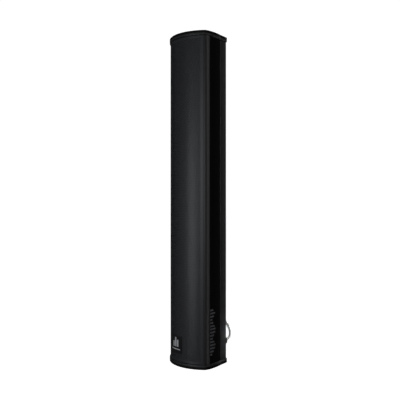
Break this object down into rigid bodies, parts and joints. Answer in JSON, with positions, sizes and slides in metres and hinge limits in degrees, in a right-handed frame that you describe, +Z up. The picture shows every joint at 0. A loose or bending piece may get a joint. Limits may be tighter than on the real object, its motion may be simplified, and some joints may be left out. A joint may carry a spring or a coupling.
{
  "type": "column loudspeaker",
  "caption": "Tall slim loudspeaker column with a bowed perforated front, swept black sides, capped rubber-edged ends and a short grey lead low on its flat back.",
  "frame": {"origin": "on the surface it stands on, under the middle of the cabinet's footprint, the lead and its fittings left out", "axes": "+Z up along the column, -Y out of the curved front, +Y out of the flat back, +X to the right seen from the back's opposite side, looking along +Y"},
  "size_m": [0.1838, 0.1974, 1],
  "materials": {
    "housing": "black anodised, satin",
    "grille": "black powder coat on perforated steel",
    "gloss_strip": "gloss black",
    "cap": "satin moulded plastic",
    "end_ring": "black rubber",
    "seal": "matt black",
    "screw": "black zinc",
    "insert": "zinc plated",
    "cloth": "open acoustic cloth",
    "badge": "gloss black",
    "badge_mark": "satin silver",
    "baffle": "matt black",
    "basket": "black pressed steel",
    "motor": "plated steel and ferrite",
    "cone": "coated paper",
    "surround": "matt",
    "spider": "impregnated cloth",
    "horn": "moulded",
    "diaphragm": "bare",
    "circuit_board": "solder mask",
    "standoff": "bare",
    "winding": "enamelled copper wire",
    "capacitor": "film capacitor",
    "foam": "open-cell foam",
    "loom": "sleeved wire",
    "connector_plate": "black powder coat",
    "socket": "moulded",
    "gland": "black nylon",
    "boot": "black rubber",
    "lead": "grey sheath"
  },
  "bodies": {
    "cabinet": {"badge_marks": "badge_mark", "badge_plate": "badge", "baffle": "baffle", "baffle_screws": "screw", "board_standoffs": "standoff", "bottom_cap": "cap", "bottom_ring": "end_ring", "bracket_inserts": "insert", "cap_screws": "screw", "cap_seals": "seal", "connector_plate": "connector_plate", "crossover_board": "circuit_board", "crossover_capacitors": "capacitor", "crossover_inductors": "winding", "damping_foam": "foam", "driver_loom": "loom", "gland_nut": "gland", "grille": "grille", "grille_cloth": "cloth", "hf_driver": "motor", "hf_suspension": "surround", "horn": "horn", "horn_screws": "screw", "housing": "housing", "input_socket": "socket", "lead_boot": "boot", "lead_gland": "gland", "link_lead": "lead", "link_socket": "socket", "plate_screws": "screw", "pole_insert": "insert", "side_strip_left": "gloss_strip", "side_strip_right": "gloss_strip", "socket_screws": "screw", "top_cap": "cap", "top_ring": "end_ring", "woofer_basket_1": "basket", "woofer_basket_2": "basket", "woofer_basket_3": "basket", "woofer_basket_4": "basket", "woofer_motor_1": "motor", "woofer_motor_2": "motor", "woofer_motor_3": "motor", "woofer_motor_4": "motor", "woofer_screws": "screw", "woofer_spider_1": "spider", "woofer_spider_2": "spider", "woofer_spider_3": "spider", "woofer_spider_4": "spider", "woofer_surround_1": "surround", "woofer_surround_2": "surround", "woofer_surround_3": "surround", "woofer_surround_4": "surround"},
    "cone_1": {"woofer_cone_1": "cone"},
    "cone_2": {"woofer_cone_2": "cone"},
    "cone_3": {"woofer_cone_3": "cone"},
    "cone_4": {"woofer_cone_4": "cone"},
    "hf_dome": {"hf_diaphragm": "diaphragm"}
  },
  "joints": [
    {"name": "cone_1_travel", "type": "slide", "parent": "cabinet", "child": "cone_1", "axis": [0, -1, 0], "range_m": [-0.004, 0.004], "stiffness_N_per_m": 1400, "deforming": ["woofer_surround_1", "woofer_spider_1"]},
    {"name": "cone_2_travel", "type": "slide", "parent": "cabinet", "child": "cone_2", "axis": [0, -1, 0], "range_m": [-0.004, 0.004], "stiffness_N_per_m": 1400, "deforming": ["woofer_surround_2", "woofer_spider_2"]},
    {"name": "cone_3_travel", "type": "slide", "parent": "cabinet", "child": "cone_3", "axis": [0, -1, 0], "range_m": [-0.004, 0.004], "stiffness_N_per_m": 1400, "deforming": ["woofer_surround_3", "woofer_spider_3"]},
    {"name": "cone_4_travel", "type": "slide", "parent": "cabinet", "child": "cone_4", "axis": [0, -1, 0], "range_m": [-0.004, 0.004], "stiffness_N_per_m": 1400, "deforming": ["woofer_surround_4", "woofer_spider_4"]},
    {"name": "hf_dome_travel", "type": "slide", "parent": "cabinet", "child": "hf_dome", "axis": [0, -1, 0], "range_m": [-0.0003, 0.0003], "stiffness_N_per_m": 6000, "deforming": ["hf_suspension"]}
  ]
}
